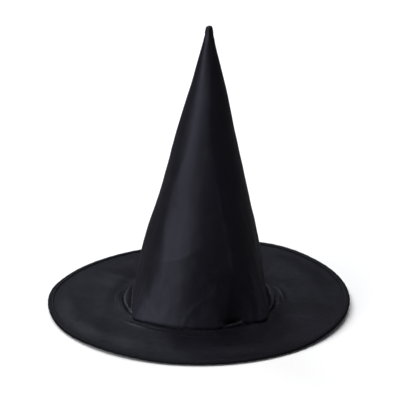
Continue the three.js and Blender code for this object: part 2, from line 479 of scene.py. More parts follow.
def felt_material(name, dark, light, dot_pitch):
    """A matt non-woven cloth, pressed with a pattern of small dots. It reads the field "weave"."""
    look = Look(name)
    flat = look.field("weave")
    fibres = look.noise(flat, (1400, 500, 800), detail=6, roughness=0.7)
    cloud = look.noise(flat, (70, 70, 70), detail=4)
    look.color(look.mapped(look.math("ADD", fibres, cloud), 0, 1, 0.75, 1.25), dark, light)
    look.set(Roughness=0.95, Specular_IOR_Level=0.2)
    dots = look.join_new("ShaderNodeTexVoronoi", look.scaled(flat, 1 / dot_pitch))
    dots.inputs["Scale"].default_value = 1.0
    dots.inputs["Randomness"].default_value = 0.15
    pressed = look.mapped(dots.outputs["Distance"], 0, 1, 0.15, 0.35)
    look.bump((cloud, 0.5 * MM, 0.3), (pressed, 0.12 * MM, 0.6), (fibres, 0.1 * MM, 0.5))
    return look.material


def tape_material(name, dark, light, roughness, rib_pitch):
    """A narrow ribbed tape. It reads the field "weave": along the tape, then across it."""
    look = Look(name)
    flat = look.field("weave")
    along, across, _ = look.split(look.scaled(flat, TAU / rib_pitch))
    ribs = look.math("SINE", look.math("ADD", along, across))
    fibres = look.noise(flat, (300, 1200, 300), detail=4)
    cloud = look.noise(flat, (90, 90, 90), detail=4)
    look.color(look.mapped(look.math("ADD", fibres, cloud), 0, 1, 0.75, 1.25), dark, light)
    look.feed(Roughness=look.mapped(fibres, roughness - 0.08, roughness + 0.08))
    look.set(Specular_IOR_Level=0.15, Specular_Tint=(*COOL_SHEEN, 1))
    look.bump((cloud, 0.4 * MM, 0.3), (ribs, 0.06 * MM, 0.5), (fibres, 0.05 * MM, 0.4))
    return look.material


def thread_material(name, dark, light):
    """Twisted sewing thread, by its place in the hat."""
    look = Look(name)
    fibres = look.noise(look.place(), 2500, detail=4)
    look.color(look.mapped(fibres, 0, 1), dark, light)
    look.feed(Roughness=look.mapped(fibres, 0.35, 0.55))
    look.bump((fibres, 0.08 * MM, 0.5))
    return look.material


def steel_material(name, color, roughness):
    """Drawn or plated steel with fine marks."""
    look = Look(name)
    marks = look.noise(look.place(), 1800, detail=5)
    look.color(look.mapped(marks, 0, 1), tuple(0.8 * c for c in color), color)
    look.feed(Roughness=look.mapped(marks, roughness - 0.08, roughness + 0.08))
    look.set(Metallic=1.0)
    look.bump((marks, 0.02 * MM, 0.4))
    return look.material


CROWN_CLOTH = cloth_material(
    "crown_satin", (0.0040, 0.0038, 0.0056), (0.0068, 0.0064, 0.0092), 0.40, 0.45 * MM,
    sheen=0.02, shine=0.3, tint=(0.76, 0.75, 1.0), weave_height=0.09
)
# Painted shade: the brim's top is the same satin as the crown, given a darker base colour and less
# shine to make up for the strong light that falls on it from above.
BRIM_CLOTH_PAINTED_DARKER = cloth_material(
    "brim_satin_painted_shade", (0.0016, 0.0016, 0.0025), (0.0034, 0.0034, 0.0052), 0.42, 0.45 * MM,
    sheen=0.01, shine=0.17, tint=(0.70, 0.71, 1.0), weave_height=0.09
)
BAND_CLOTH = cloth_material(
    "sweatband_satin", (0.0075, 0.0075, 0.0105), (0.0120, 0.0120, 0.0170), 0.30, 0.3 * MM, shine=0.7
)
SEAM_CLOTH = cloth_material(
    "seam_allowance_cloth", (0.0060, 0.0060, 0.0070), (0.0100, 0.0100, 0.0110), 0.7, 0.45 * MM
)
LINING_FELT = felt_material(
    "crown_lining_felt", (0.0085, 0.0085, 0.0085), (0.0150, 0.0150, 0.0150), 1.6 * MM
)
BRIM_FELT = felt_material(
    "brim_stiffener_felt", (0.020, 0.020, 0.020), (0.035, 0.035, 0.035), 2.2 * MM
)
BINDING_TAPE = tape_material(
    "edge_binding_tape", (0.0010, 0.0010, 0.0014), (0.0022, 0.0022, 0.0030), 0.65, 0.7 * MM
)
SEAM_TAPE = tape_material(
    "head_seam_tape_cloth", (0.0028, 0.0028, 0.0036), (0.0050, 0.0050, 0.0064), 0.5, 0.9 * MM
)
THREAD = thread_material("sewing_thread", (0.0050, 0.0050, 0.0060), (0.0120, 0.0120, 0.0150))
SPRING_STEEL = steel_material("spring_wire_steel", (0.55, 0.56, 0.58), 0.3)
FERRULE_STEEL = steel_material("ferrule_plated_steel", (0.6, 0.6, 0.6), 0.4)


# ---------------------------------------------------------------- the hat's shape


# How far the brim's edge has risen off the floor, as (azimuth in degrees, millimetres). It lies on
# the floor at the front and at the back left.
RIM_LIFT = [
    (-180, 5.0), (-162, 1.2), (-142, 0), (-126, 0), (-112, 0.6), (-97, 3.2), (-78, 3.3), (-60, 1.5),
    (-42, 2.7), (-28, 2.2), (-12, 0.4), (0, 0), (20, 0), (42, 0.8), (60, 4.2), (80, 6.4), (105, 8.6),
    (125, 10.6), (145, 12.8), (163, 10.5),
]


def brim_lift(x, y):
    """How far the brim has risen from flat, at a point on it."""
    radius, azimuth = radius_and_azimuth(x, y)
    share = np.clip((radius - 0.45 * BRIM_RADIUS) / (0.55 * BRIM_RADIUS), 0, 1.1) ** 1.25
    return round_the_hat(azimuth, RIM_LIFT) * MM * share


def brim_swell(x, y):
    """The brim's slow swells, which fade to nothing at its two sewn edges."""
    radius = np.hypot(x, y)
    held = smooth_step(HEAD_RADIUS, HEAD_RADIUS + 25 * MM, radius)
    held = held * (1 - smooth_step(BRIM_RADIUS - 40 * MM, BRIM_RADIUS - 10 * MM, radius))
    place = stacked(x, y, 0 * x)
    return 1.5 * MM * held * (1 + ripples(place, 3, 45 * MM, 110 * MM))


def half_width(z):
    """Half the cone's width at a height. The cloth has slackened here and there."""
    share = np.clip(z / CONE_HEIGHT, 0, 1)
    cone = CONE_RADIUS * (1 - share) + CONE_BULGE * np.sin(math.pi * share)
    slack = 2.1 * MM * hump(z, 90 * MM, 38 * MM) + 0.3 * MM * hump(z, 262 * MM, 26 * MM)
    return np.hypot(cone + slack, POINT_RADIUS)


def middle_line(z):
    """How far the crown's middle has leaned to the side at a height."""
    return LEAN * z + 1.1 * MM * hump(z, 162 * MM, 50 * MM) + 1.2 * MM * hump(z, 280 * MM, 40 * MM)


def extra_depth(z):
    """How much further the cone reaches to the front and back than to the sides."""
    return EXTRA_DEPTH * np.clip(1 - z / ROUND_HEIGHT, 0, 1) ** 2


def cone_radius(azimuth, z):
    """The cone's radius in a direction: half_width at the sides, extra_depth more at the front."""
    across, along = half_width(z), half_width(z) + extra_depth(z)
    return 1 / np.hypot(np.sin(azimuth) / across, np.cos(azimuth) / along)


# Where the crown's wall starts over the brim, as (azimuth in degrees, radius in millimetres). It
# is pressed in at the sides, and folded out over the brim at the corners between them.
WALL_FOOT = [
    (-180, 94.5), (-155, 92), (-130, 98), (-118, 95), (-102, 86), (-90, 84), (-80, 85.5), (-70, 89.5),
    (-60, 97), (-52, 104), (-45, 102), (-38, 98.5), (-25, 96.5), (-10, 97), (0, 97.5), (12, 96.5),
    (20, 92.5), (27, 90), (34, 93.5), (42, 101.5), (50, 106.5), (58, 101), (68, 92), (79, 87),
    (90, 85.5), (102, 86.5), (120, 95), (135, 98), (155, 92.5),
]
WALL_FOOT_HEIGHT = 15 * MM


def wall_foot(azimuth):
    return round_the_hat(azimuth, WALL_FOOT) * MM


def fold_ridge(azimuth, z, crest, height, width, top):
    """One long straight fold: a ridge along the azimuth crest, with flatter cloth beside it."""
    away = np.abs(turn_between(azimuth, np.radians(crest))) / math.radians(width)
    ends = (1 - smooth_step(top - 60 * MM, top, z)) * (0.35 + 0.65 * smooth_step(0, 60 * MM, z))
    return height * np.exp(-np.sqrt(away**2 + 0.05)) * ends * half_width(z) / CONE_RADIUS


def packing_creases(azimuth, z):
    """The folds that the cone was packed with, and one soft fold at the front left, which
    wanders."""
    wander = -38 - 10 * hump(z, 148 * MM, 42 * MM) + 3 * np.sin(z / (31 * MM))
    front = 26.5 - 20 * smooth_step(75 * MM, 260 * MM, z) - 9 * smooth_step(50 * MM, 0, z)
    total = fold_ridge(azimuth, z, wander, 2.2 * MM, 11, 232 * MM)
    total = total + fold_ridge(azimuth, z, front, 7.0 * MM, 14, 345 * MM)
    total = total + fold_ridge(azimuth, z, 152, 2.2 * MM, 14, 340 * MM)
    return total + fold_ridge(azimuth, z, -138, 1.6 * MM, 16, 330 * MM)


def back_seam(azimuth, z):
    """The sewn seam up the back: a groove between two soft ridges, with the cloth puckered."""
    side = turn_between(azimuth, math.pi)
    arc = side * half_width(z)
    up = z + 0.6 * MM * np.sin(z / (17 * MM))
    groove = -1.1 * MM * hump(arc, 0, 0.8 * MM)
    ridges = 0.7 * MM * (hump(arc, 3.2 * MM, 2.2 * MM) + hump(arc, -3.2 * MM, 2.2 * MM))
    beat = np.sin(up * TAU / (11 * MM)) + 0.6 * np.sin(up * TAU / (7.3 * MM) + 2 + 3 * np.sign(arc))
    pucker = 0.42 * MM * beat * hump(np.abs(arc), 4 * MM, 4.5 * MM)
    return (groove + ridges + pucker) * smooth_step(0, 3 * MM, arc * 0 + HAT_HEIGHT - z)


def tip_gathers(azimuth, z):
    """The cloth's end, drawn together into the blunt point."""
    near = smooth_step(HAT_HEIGHT - 26 * MM, HAT_HEIGHT - 3 * MM, z)
    folds = np.sin(5 * azimuth + 0.7 + z / (9 * MM)) + 0.6 * np.sin(8 * azimuth + 2)
    return 0.28 * MM * near * folds


def round_columns(columns):
    """Azimuths round the crown, closer together near the back seam."""
    steps = np.linspace(-math.pi, math.pi, 4001)
    crowding = 1 + 3.5 * hump(np.abs(steps), math.pi, 0.11)
    places = np.concatenate([[0], np.cumsum((crowding[1:] + crowding[:-1]) / 2)])
    return np.interp(np.arange(columns) / columns * places[-1], places, steps)


def crown_grid(azimuth, foot_rows, wall_rows):
    """The crown's outer face at each azimuth: rows of points from the seam at the brim to the
    tip. Returns the points, and the azimuths and heights that they were made from."""
    foot_radius, foot_z = foot_profile(azimuth, foot_rows)
    cap_start = HAT_HEIGHT - POINT_RADIUS
    wall_heights = np.linspace(WALL_FOOT_HEIGHT, cap_start, wall_rows + 1)[1:]
    wall_azimuth, wall_z = np.meshgrid(azimuth, wall_heights)
    cap_turn = np.radians([25, 45, 62, 78, 88])
    cap_azimuth, cap_z = np.meshgrid(azimuth, cap_start + POINT_RADIUS * np.sin(cap_turn) * 0.95)
    cap_width = half_width(cap_start) * np.cos(cap_turn)[:, None] ** 0.7
    cap_radius = cap_width * (1 + tip_gathers(cap_azimuth, cap_z) / POINT_RADIUS)
    all_azimuth = np.concatenate([np.tile(azimuth, (foot_rows, 1)), wall_azimuth, cap_azimuth])
    all_z = np.concatenate([foot_z, wall_z, cap_z])
    radius = np.concatenate([foot_radius, wall_radius(wall_azimuth, wall_z), cap_radius])
    x, y = polar(radius, all_azimuth)
    lift = brim_lift(x, y) * (1 - smooth_step(20 * MM, 90 * MM, all_z))
    return stacked(x + middle_line(all_z), y, all_z + lift), all_azimuth, all_z


def wall_radius(azimuth, z):
    """The crown's wall with its folds, seam and slow ripples."""
    fade = np.clip(1 - (z - 8 * MM) / (130 * MM), 0, 1) ** 2.6
    smooth = cone_radius(azimuth, z) + (wall_foot(azimuth) - cone_radius(azimuth, 8 * MM)) * fade
    place = stacked(*polar(smooth, azimuth), z)
    size = (half_width(z) / CONE_RADIUS) ** 0.6
    slow = 1.1 * MM * ripples(place, 11, 45 * MM, 120 * MM, (1, 1, 0.28))
    fine = 0.26 * MM * ripples(place, 12, 12 * MM, 34 * MM, (1, 1, 0.5))
    lines = np.abs(ripples(place, 16, 40 * MM, 110 * MM, (1, 1, 0.45)))
    creases = 0.32 * MM * np.clip(1 - 2.2 * lines, 0, 1) ** 3
    creases = creases - 0.8 * MM * hump(z, 218 * MM, 7 * MM) * hump(azimuth, math.radians(-8), 0.35)
    relief = (slow + fine + creases) * size * smooth_step(0, 30 * MM, HAT_HEIGHT - z)
    folded = smooth + relief + packing_creases(azimuth, z)
    return folded + back_seam(azimuth, z) + tip_gathers(azimuth, z)


def foot_profile(azimuth, rows):
    """Radius and height of the crown's foot, from its sewn edge to the wall. Where the wall is
    pressed in, the cloth makes a rounded ledge on the brim with a sharp fold behind it. Elsewhere
    the wall comes straight down, or bulges out over the seam."""
    wall = wall_foot(azimuth)
    ledge = smooth_step(1.5 * MM, 6 * MM, HEAD_RADIUS - wall)
    seam = HEAD_RADIUS + 0.35 * MM * np.sin(azimuth * 53) * np.sin(azimuth * 11 + 1)
    overhang = np.maximum(wall - seam, 0)
    fixed = np.ones_like(azimuth)

    def wall_at(millimetres):
        return wall_radius(azimuth, millimetres * MM * fixed)

    def between(on_ledge, on_bulge):
        return [ledge * a + (1 - ledge) * b for a, b in zip(on_ledge, on_bulge)]

    top = wall_at(WALL_FOOT_HEIGHT / MM)
    controls = [
        [seam - 0.9 * MM, 1.0 * MM * fixed],
        [seam - 0.5 * MM, 3.2 * MM * fixed],
        [seam + 0.7 * overhang, BRIM_TOP + 1.0 * MM * fixed],
        between((seam - 0.6 * MM, 7.8 * MM), (wall_at(5.6) - 0.8 * MM, 5.6 * MM)),
        between((0.55 * seam + 0.45 * wall, 8.8 * MM), (wall_at(7.4) - 0.3 * MM, 7.4 * MM)),
        between((wall + 0.2 * MM, 4.4 * MM), (wall_at(9.2), 9.2 * MM)),
        between((wall - 1.4 * MM, 7.0 * MM), (wall_at(11.0), 11.0 * MM)),
        between((0.6 * wall + 0.4 * top, 11.5 * MM), (wall_at(13.0), 13.0 * MM)),
        [top, WALL_FOOT_HEIGHT * fixed],
    ]
    curve = b_spline([np.array(c) for c in controls], rows)
    return curve[:, 0], curve[:, 1]


# ---------------------------------------------------------------- pieces of the crown


def unrolled(azimuth, z):
    """Flat coordinates on the cone's cut, a sector of a circle round the point."""
    slope = math.hypot(CONE_RADIUS, CONE_HEIGHT)
    share = CONE_RADIUS / slope
    slant = (CONE_HEIGHT - z) * slope / CONE_HEIGHT
    turn = turn_between(azimuth, 0) * share
    return stacked(slant * np.sin(turn), slant * np.cos(turn), 0 * z)


def rubbed(grid, normals):
    """1 on the crests of a grid's folds, 0 elsewhere."""
    around = sum(np.roll(grid, columns, axis=1) for columns in (1, -1, 3, -3)) / 4
    crest = ((grid - around) * normals).sum(axis=2)
    return smooth_step(0.05 * MM, 0.5 * MM, crest - np.median(crest, axis=1, keepdims=True))


def crown_layer(name, azimuth, rows, depth, thickness, top, material):
    """One layer of the crown as two meshes that meet at SPLIT_HEIGHT. depth is how far it lies
    under the crown's outer face. It ends at the height top, or at the point where top is None."""
    wrapped = azimuth[-1] - azimuth[0] > math.pi
    outside, azimuths, z = crown_grid(azimuth, *rows)
    normals = surface_normals(outside, wrapped)
    face = outside - normals * depth
    back = outside - normals * (depth + thickness)
    worn = rubbed(face, normals)
    flat = unrolled(azimuths, z)
    end = len(face) if top is None else int(np.searchsorted(z[:, 0], top))
    split = int(np.argmin(np.abs(z[:, 0] - SPLIT_HEIGHT)))
    pieces = []
    for part, first, last in (("lower", 0, split + 1), ("upper", split, end)):
        pole = last == len(face)
        fields = {"weave": flat[first:last], "worn": worn[first:last]}
        piece = cloth_object(
            f"{name}_sheet_{part}", face[first:last], back[first:last], material, wrapped, pole, fields
        )
        set_normals(piece, normals[first:last], last - first, len(azimuth))
        pieces.append(piece)
    return pieces


def bend_lower(piece):
    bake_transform(piece)


def bend_upper(piece):
    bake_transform(piece)


def sector(low, high):
    """The flat size and area of the part of the cone's cut between two heights."""
    slope = math.hypot(CONE_RADIUS, CONE_HEIGHT)
    share = CONE_RADIUS / slope
    outer = (CONE_HEIGHT - low) * slope / CONE_HEIGHT
    inner = (CONE_HEIGHT - high) * slope / CONE_HEIGHT
    half_turn = math.pi * share
    flat = (2 * outer * math.sin(half_turn), outer - inner * math.cos(half_turn))
    return flat, half_turn * (outer**2 - inner**2)


def seam_strip(low, high):
    """The flat size and area of the back seam's turned edges between two heights."""
    width = 2 * SEAM_HALF_TURN * half_width(low)
    return (width, high - low), width * (high - low)


def finish_crown_layer(pieces, name, cut):
    """Hides the CAD nodes that the two meshes of a layer replace and bakes the meshes' transforms.
    cut(low, high) gives the flat size and area of the layer's cut between two heights; these are
    worked out but not kept."""
    lower, upper = pieces
    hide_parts(f"{name}_lower", f"{name}_bend")
    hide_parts(f"{name}_middle", f"{name}_tip_bend", f"{name}_tip")
    bend_lower(lower)
    bend_upper(upper)
    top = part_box(f"{name}_tip")[1].z
    for piece, low, high in ((lower, 0, SPLIT_HEIGHT), (upper, SPLIT_HEIGHT, top)):
        flat, area = cut(low, high)


def make_crown():
    cloth = crown_layer("crown_cloth", round_columns(340), (30, 150), 0, CLOTH, None, CROWN_CLOTH)
    finish_crown_layer(cloth, "crown_cloth", sector)
    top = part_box("crown_lining_tip")[1].z
    azimuth = round_columns(200)
    lining = crown_layer("crown_lining", azimuth, (22, 90), 1.1 * MM, 0.6 * MM, top, LINING_FELT)
    finish_crown_layer(lining, "crown_lining", sector)


def make_back_seam():
    """The seam's two turned edges, pressed flat on both sides of it inside the crown."""
    azimuth = np.linspace(math.pi - SEAM_HALF_TURN, math.pi + SEAM_HALF_TURN, SEAM_COLUMNS)
    seam_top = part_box("back_seam_tip")[1].z
    pieces = crown_layer("back_seam", azimuth, (22, 110), 2.0 * MM, 0.9 * MM, seam_top, SEAM_CLOTH)
    finish_crown_layer(pieces, "back_seam", seam_strip)
    for piece in pieces:
        curl_edges(piece)


def curl_edges(piece):
    """Lets the raw edges of a back seam piece stand off the crown here and there."""
    points = np.zeros(len(piece.data.vertices) * 3)
    piece.data.vertices.foreach_get("co", points)
    points = points.reshape(-1, SEAM_COLUMNS, 3)
    side = np.linspace(-1, 1, SEAM_COLUMNS)
    for row in points:
        z = row[0, 2]
        wave = 0.5 + 0.5 * np.sin(z / (9 * MM) + 2 * side) * np.sin(z / (23 * MM) + 1)
        away = np.abs(side) ** 3 * wave * 1.6 * MM * min(1, half_width(z) / (30 * MM))
        row[:, 1] -= away
        row[:, 1] -= 0.5 * MM * hump(side, 0, 0.12)
    piece.data.vertices.foreach_set("co", points.ravel())
    piece.data.update()


def make_tip_tuck():
    """The cut end of the cloth, folded and stuffed into the point."""
    low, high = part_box("tip_tuck")
    climb = np.linspace(0, math.pi, 13)[1:-1]
    azimuths, turn = np.meshgrid(all_round(40), climb)
    z = (low.z + high.z) / 2 - (high.z - low.z) / 2 * np.cos(turn)
    room = half_width(z) - 1.5 * MM
    folds = 0.78 + 0.2 * np.sin(5 * azimuths + 3 * turn) * np.sin(turn)
    radius = room * np.sin(turn) ** 0.5 * folds
    x, y = polar(radius, azimuths)
    grid = stacked(middle_line(z) + x, y, z)
    piece = closed_lump("tip_tuck_folded", grid, SEAM_CLOTH)
    add_field(piece, "weave", np.array([v.co for v in piece.data.vertices]))
    add_field(piece, "worn", np.zeros(len(piece.data.vertices)))
    register(piece, "tip_tuck", TIP_BODY)


# ---------------------------------------------------------------- pieces of the brim


def ring_grid(radii, columns):
    """Points of a flat ring: rows run outwards. Returns x and y."""
    azimuths, radius = np.meshgrid(all_round(columns), radii)
    return polar(radius, azimuths)


def brim_ply(name, node, material, columns, rows, relief):
    """One of the brim's flat cloths, at its CAD node's height. relief(x, y) raises it further."""
    inner, outer = HEAD_RADIUS + 0.3 * MM, PLY_EDGE_RADIUS
    low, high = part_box(node)
    x, y = ring_grid(np.linspace(inner, outer, rows), columns)
    lift = brim_lift(x, y) + brim_swell(x, y)
    raised = relief(x, y)
    top = stacked(x, y, high.z + lift + raised)
    under = stacked(x, y, low.z + lift + raised)
    flat = stacked(x, y, 0 * x)
    piece = cloth_object(name, under, top, material, fields={"weave": flat, "worn": 0 * x})
    register(piece, node, BRIM_BODY)


def seam_puckers(x, y):
    """Small radial folds where the brim's cloth is eased into the head seam and the binding."""
    radius, azimuth = radius_and_azimuth(x, y)
    inner = hump(radius, HEAD_RADIUS + 1 * MM, 7 * MM)
    outer = hump(radius, PLY_EDGE_RADIUS - 4 * MM, 6 * MM)
    wander = 0.5 * np.sin(9 * azimuth + 1) + 0.5 * np.sin(17 * azimuth)
    near = 0.32 * MM * inner * (1 + np.sin(67 * azimuth + 3 * wander)) * (0.6 + 0.4 * wander)
    far = 0.10 * MM * outer * (1 + np.sin(151 * azimuth + 4 * wander))
    return near + far


def seam_rise(x, y):
    """How far the brim's cloth is drawn up where it meets the crown. The pull comes and goes, so
    the line round the crown's foot is soft in some places and sharp in others."""
    radius, azimuth = radius_and_azimuth(x, y)
    pull = 0.5 + 0.5 * np.sin(5 * azimuth + 1.9) * np.sin(3 * azimuth + 0.6)
    return 1.7 * MM * hump(radius, HEAD_RADIUS, 10 * MM) * pull


# Folds that run round the crown, as (azimuth, its spread, radius, width, height), and creases that
# run outwards, as (azimuth, its spread, reach, height). Azimuths in degrees, the rest in millimetres.
ROUND_FOLDS = [
    (-24, 13, 105, 2.4, 1.5), (-14, 18, 115, 3.2, 0.9), (-41, 10, 112, 2.6, 1.0),
    (84, 10, 102, 2.2, 1.3), (97, 12, 107, 2.0, 1.2), (-98, 10, 103, 2.5, 0.9),
    (40, 16, 103, 3.0, 0.8), (170, 25, 106, 3.5, 0.8),
]
OUTWARD_CREASES = [(112, 2.2, 60, 0.8), (128, 3.0, 50, 0.7), (-128, 3.0, 55, 0.6), (63, 2.5, 45, 0.45)]
# How far a crease turns aside on its way outwards, in degrees per metre.
CREASE_DRIFT = 60


def brim_folds(x, y):
    """The few real folds of the brim: low ones along parts of the head seam, and slanting creases
    that run outwards from it."""
    radius, azimuth = radius_and_azimuth(x, y)
    azimuth = np.degrees(azimuth)
    total = 0
    for degrees, spread, at, width, height in ROUND_FOLDS:
        fold = height * MM * hump(azimuth, degrees, spread) * hump(radius, at * MM, width * MM)
        total = total + fold
    for degrees, spread, reach, height in OUTWARD_CREASES:
        inward = hump(radius, HEAD_RADIUS, reach * MM)
        middle = degrees + CREASE_DRIFT * (radius - HEAD_RADIUS)
        total = total + height * MM * inward * hump(azimuth, middle, spread)
    return total


def make_brim():
    def top_relief(x, y):
        fine = 0.10 * MM * (1 + ripples(stacked(x, y, 0 * x), 21, 10 * MM, 40 * MM))
        return seam_puckers(x, y) + seam_rise(x, y) + brim_folds(x, y) + fine

    def under_relief(x, y):
        """The under cloth hangs slack in folds, but is flat where it lies on the table."""
        place = stacked(x, y, 0 * x)
        radius, azimuth = radius_and_azimuth(x, y)
        room = smooth_step(0, 4 * MM, brim_lift(x, y) + brim_swell(x, y))
        sides = hump(azimuth, math.radians(95), 0.8) + hump(azimuth, math.radians(-75), 0.6)
        line = np.abs(np.sin(8.5 * azimuth + 1.5 * np.sin(5 * azimuth) + radius / (70 * MM)))
        away = smooth_step(TAPE_RADIUS, TAPE_RADIUS + 20 * MM, radius)
        held = away * (1 - smooth_step(PLY_EDGE_RADIUS - 12 * MM, PLY_EDGE_RADIUS, radius))
        fine = 0.3 * MM * (1 + ripples(place, 22, 14 * MM, 60 * MM))
        return -(fine + 1.8 * MM * sides * (1 - line) ** 2) * held * room

    def no_relief(x, y):
        return 0 * x

    for name, node, slot, material, columns, rows, relief in [
        # The brim's top takes the darkened copy of the crown's satin: painted shade.
        ("brim_top_cloth_sewn", "brim_top_cloth", "brim_cloth", BRIM_CLOTH_PAINTED_DARKER, 420, 64, top_relief),
        ("brim_under_cloth_sewn", "brim_under_cloth", "brim_cloth", CROWN_CLOTH, 360, 48, under_relief),
        ("brim_stiffener_ply", "brim_stiffener", "brim_stiffener", BRIM_FELT, 180, 20, no_relief),
    ]:
        brim_ply(name, node, material, columns, rows, relief)


EDGE_STITCHES = 320
HEAD_STITCHES = 190
BAND_STITCHES = 180


def binding_profile(steps):
    """Radius, height and path length round the bias tape's outer face, from its lower inner edge
    over the bead to its upper inner edge."""
    inner = BRIM_RADIUS - 7.5 * MM
    bead = RIM_HEIGHT / 2
    centre = BRIM_RADIUS - bead
    angle = np.linspace(-math.pi / 2, math.pi / 2, steps)
    flat = np.linspace(inner, centre, 7)[:-1]
    radius = np.concatenate([flat, centre + bead * np.cos(angle), flat[::-1]])
    height = np.concatenate([0 * flat, bead + bead * np.sin(angle), 0 * flat + RIM_HEIGHT])
    along = np.concatenate([[0], np.cumsum(np.hypot(np.diff(radius), np.diff(height)))])
    return radius, height, along


def make_binding():
    columns = 3 * EDGE_STITCHES
    radius, height, along = binding_profile(13)
    middle = along[-1] / 2
    azimuths, across = np.meshgrid(all_round(columns), along - middle)
    outward = surface_normals_2d(radius, height)
    drawn = hump(np.abs(across), middle - 1.6 * MM, 1.1 * MM)
    stitches = np.cos(azimuths * EDGE_STITCHES)
    bias = np.sin(azimuths * 97 + across / (1.6 * MM))
    bias = bias + 0.7 * np.sin(azimuths * 61 - across / (2.3 * MM) + 1)
    bulge = 0.10 * MM * bias * smooth_step(middle, 0, np.abs(across))
    relief = bulge - 0.22 * MM * drawn * (0.5 + 0.5 * stitches) + 0.12 * MM
    wave = 0.25 * MM * np.sin(azimuths * 143 + 2 * np.sin(azimuths * 12))
    edge_wave = wave * smooth_step(middle - 2 * MM, middle, np.abs(across))
    grids = []
    for depth in (0.0, CLOTH * 0.8):
        r = radius[:, None] + outward[0][:, None] * (relief - depth) + edge_wave * (depth == 0)
        z = height[:, None] + outward[1][:, None] * (relief - depth)
        x, y = polar(r, azimuths)
        grids.append(stacked(x, y, z + brim_lift(x, y)))
    grids[0][..., 2] = np.maximum(grids[0][..., 2], brim_lift(grids[0][..., 0], grids[0][..., 1]))
    flat = stacked(azimuths * BRIM_RADIUS, across, 0 * across)
    piece = cloth_object("edge_binding_tape", *grids, BINDING_TAPE, fields={"weave": flat})
    register(piece, "edge_binding", BRIM_BODY)


def surface_normals_2d(radius, height):
    """Outward unit normals of a profile that runs up the outside."""
    run, rise = np.gradient(radius), np.gradient(height)
    length = np.hypot(run, rise)
    return rise / length, -run / length


def stitch_rows(name, node, rows):
    """Single stitches as one mesh, in place of a CAD node. rows is a list of (centres, directions,
    ups, length, width), the first three being arrays of points and unit vectors."""
    sides, rings = 6, 5
    along = np.linspace(-1, 1, rings)
    around = np.arange(sides) / sides * TAU
    points, faces = [], []
    for centres, directions, ups, length, width in rows:
        across = np.cross(directions, ups)
        fullness = np.sqrt(np.clip(1.15 - along**2, 0, 1))
        arch = 0.35 * width - 0.75 * width * along**4
        for centre, direction, up, side in zip(centres, directions, ups, across):
            first = len(points) * sides
            for t, full, rise in zip(along, fullness, arch):
                middle = centre + direction * t * length / 2 + up * rise
                ring = np.outer(np.cos(around), side) * 0.55 + np.outer(np.sin(around), up) * 0.42
                points.append(middle + ring * width * full)
            for r in range(rings - 1):
                for s in range(sides):
                    a, b = first + r * sides + s, first + r * sides + (s + 1) % sides
                    faces.append((a, b, b + sides, a + sides))
            last = first + (rings - 1) * sides
            faces.append(tuple(first + s for s in reversed(range(sides))))
            faces.append(tuple(last + s for s in range(sides)))
    piece = make_object(name, np.concatenate(points), faces, THREAD)
    register(piece, node, BRIM_BODY)


def stitch_circle(radius, height, count):
    """Centres, directions and up vectors of stitches round the brim."""
    azimuth = (np.arange(count) + 0.5) / count * TAU - math.pi
    x, y = polar(radius, azimuth)
    centres = stacked(x, y, height + brim_lift(x, y))
    directions = stacked(np.cos(azimuth), np.sin(azimuth), 0 * azimuth)
    ups = np.tile([0.0, 0.0, 1.0], (count, 1))
    return centres, directions, ups


def make_stitches():
    pitch = TAU * EDGE_STITCH_RADIUS / EDGE_STITCHES
    upper = stitch_circle(EDGE_STITCH_RADIUS, RIM_HEIGHT + 0.05 * MM, EDGE_STITCHES)
    lower = stitch_circle(EDGE_STITCH_RADIUS, 0.25 * MM, EDGE_STITCHES)
    rows = [(*upper, 0.74 * pitch, 0.5 * MM), (lower[0], lower[1], -lower[2], 0.74 * pitch, 0.4 * MM)]
    stitch_rows("edge_binding_stitches", "edge_binding_thread", rows)
    pitch = TAU * HEAD_STITCH_RADIUS / HEAD_STITCHES
    centres, directions, ups = stitch_circle(HEAD_STITCH_RADIUS, BRIM_TOP, HEAD_STITCHES)
    x, y = centres[:, 0], centres[:, 1]
    raised = seam_puckers(x, y) + seam_rise(x, y) + brim_folds(x, y)
    centres[:, 2] += raised + brim_swell(x, y) + 0.25 * MM
    rows = [(centres, directions, ups, 0.72 * pitch, 0.5 * MM)]
    stitch_rows("head_seam_stitches", "head_seam_thread", rows)


def make_tape():
    """The bias tape that covers the head seam under the brim. It lies in slight waves."""
    low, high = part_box("head_seam_tape")
    inner = HEAD_RADIUS - 4.2 * MM
    radii = np.linspace(inner, TAPE_RADIUS, 10)
    x, y = ring_grid(radii, 400)
    radius, azimuth = radius_and_azimuth(x, y)
    across = (radius - inner) / (TAPE_RADIUS - inner)
    edge = (2 * across - 1) ** 2
    wave = 0.25 * MM * edge * (1 + np.sin(azimuth * 61 + 3 * np.sin(azimuth * 5)))
    wander = 0.5 * MM * (2 * across - 1) * np.sin(azimuth * 13 + np.sin(azimuth * 4))
    x, y = x * (1 + wander / radius), y * (1 + wander / radius)
    lift = brim_lift(x, y)
    top = stacked(x, y, lift + high.z - wave * 0.2)
    under = stacked(x, y, lift + low.z + 0.1 * MM - wave * 0.2)
    flat = stacked(azimuth * HEAD_RADIUS, radius, 0 * radius)
    piece = cloth_object("head_seam_bias_tape", under, top, SEAM_TAPE, fields={"weave": flat})
    register(piece, "head_seam_tape", BRIM_BODY)


BAND_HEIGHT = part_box("sweatband")[1].z
# The sweatband's free edge is a polygon with corners at these azimuths, in degrees.
BAND_CORNERS = [-171, -137, -116, -78, -47, -6, 24, 61, 83, 121, 146]


def band_panels(azimuth):
    """How deep a flat panel's chord lies inside the circle at an azimuth, as a share of the
    radius, and where in its panel the azimuth is, from -1 to 1."""
    corners = np.radians(np.array(BAND_CORNERS + [BAND_CORNERS[0] + 360], float))
    at = (azimuth - corners[0]) % TAU + corners[0]
    panel = np.clip(np.searchsorted(corners, at, side="right") - 1, 0, len(corners) - 2)
    half = (corners[panel + 1] - corners[panel]) / 2
    middle = (corners[panel + 1] + corners[panel]) / 2
    return 1 - np.cos(half) / np.cos(at - middle), (at - middle) / half


